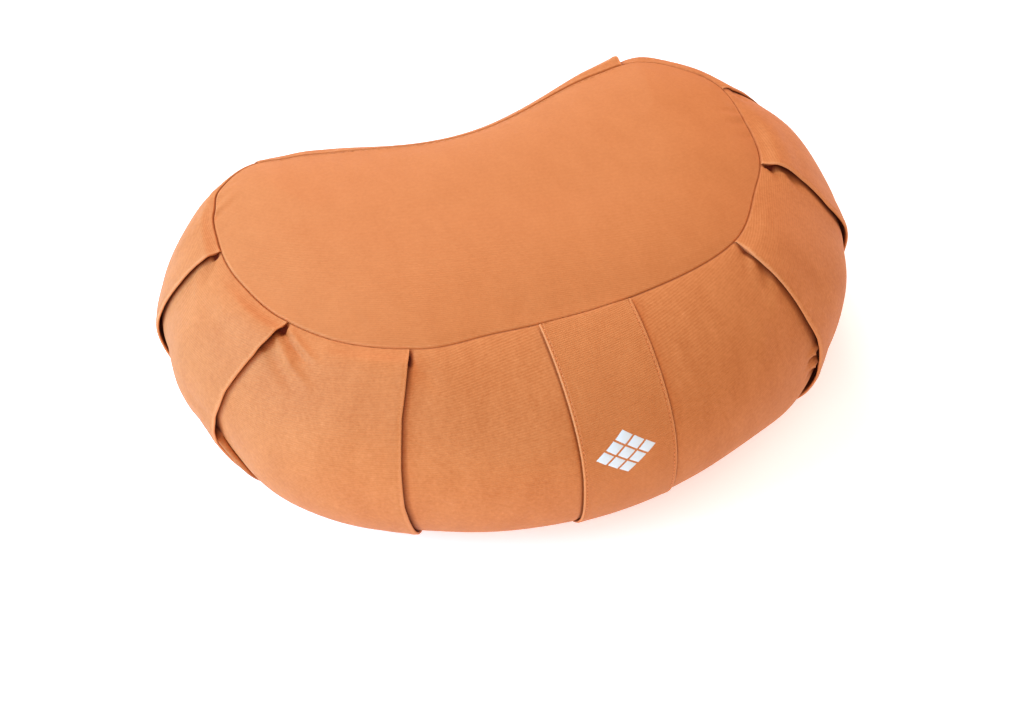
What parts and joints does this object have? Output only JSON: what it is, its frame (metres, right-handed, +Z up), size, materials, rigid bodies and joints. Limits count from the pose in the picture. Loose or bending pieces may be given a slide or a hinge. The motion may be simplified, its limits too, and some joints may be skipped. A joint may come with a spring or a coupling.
{
  "type": "crescent meditation cushion",
  "caption": "Crescent floor cushion with a pleated, stuffed side band, a crowned top panel, a flat base panel and a broad carrying strap over the front.",
  "frame": {"origin": "under the middle of the whole cushion, on the surface that it rests on", "axes": "+X along the cushion's length, -Y towards its rounded front with the strap, +Z up"},
  "size_m": [0.4626, 0.3222, 0.15],
  "materials": {
    "band_cloth": "matt brushed cotton twill, orange",
    "top_cloth": "matt brushed cotton twill, orange",
    "base_cloth": "matt brushed cotton twill, orange",
    "strap_cloth": "matt doubled cotton twill, orange, edge-stitched"
  },
  "bodies": {
    "root": {"stuffed_band": "band_cloth", "top_panel": "top_cloth", "bottom_panel": "base_cloth", "carry_strap": "strap_cloth"}
  },
  "joints": []
}
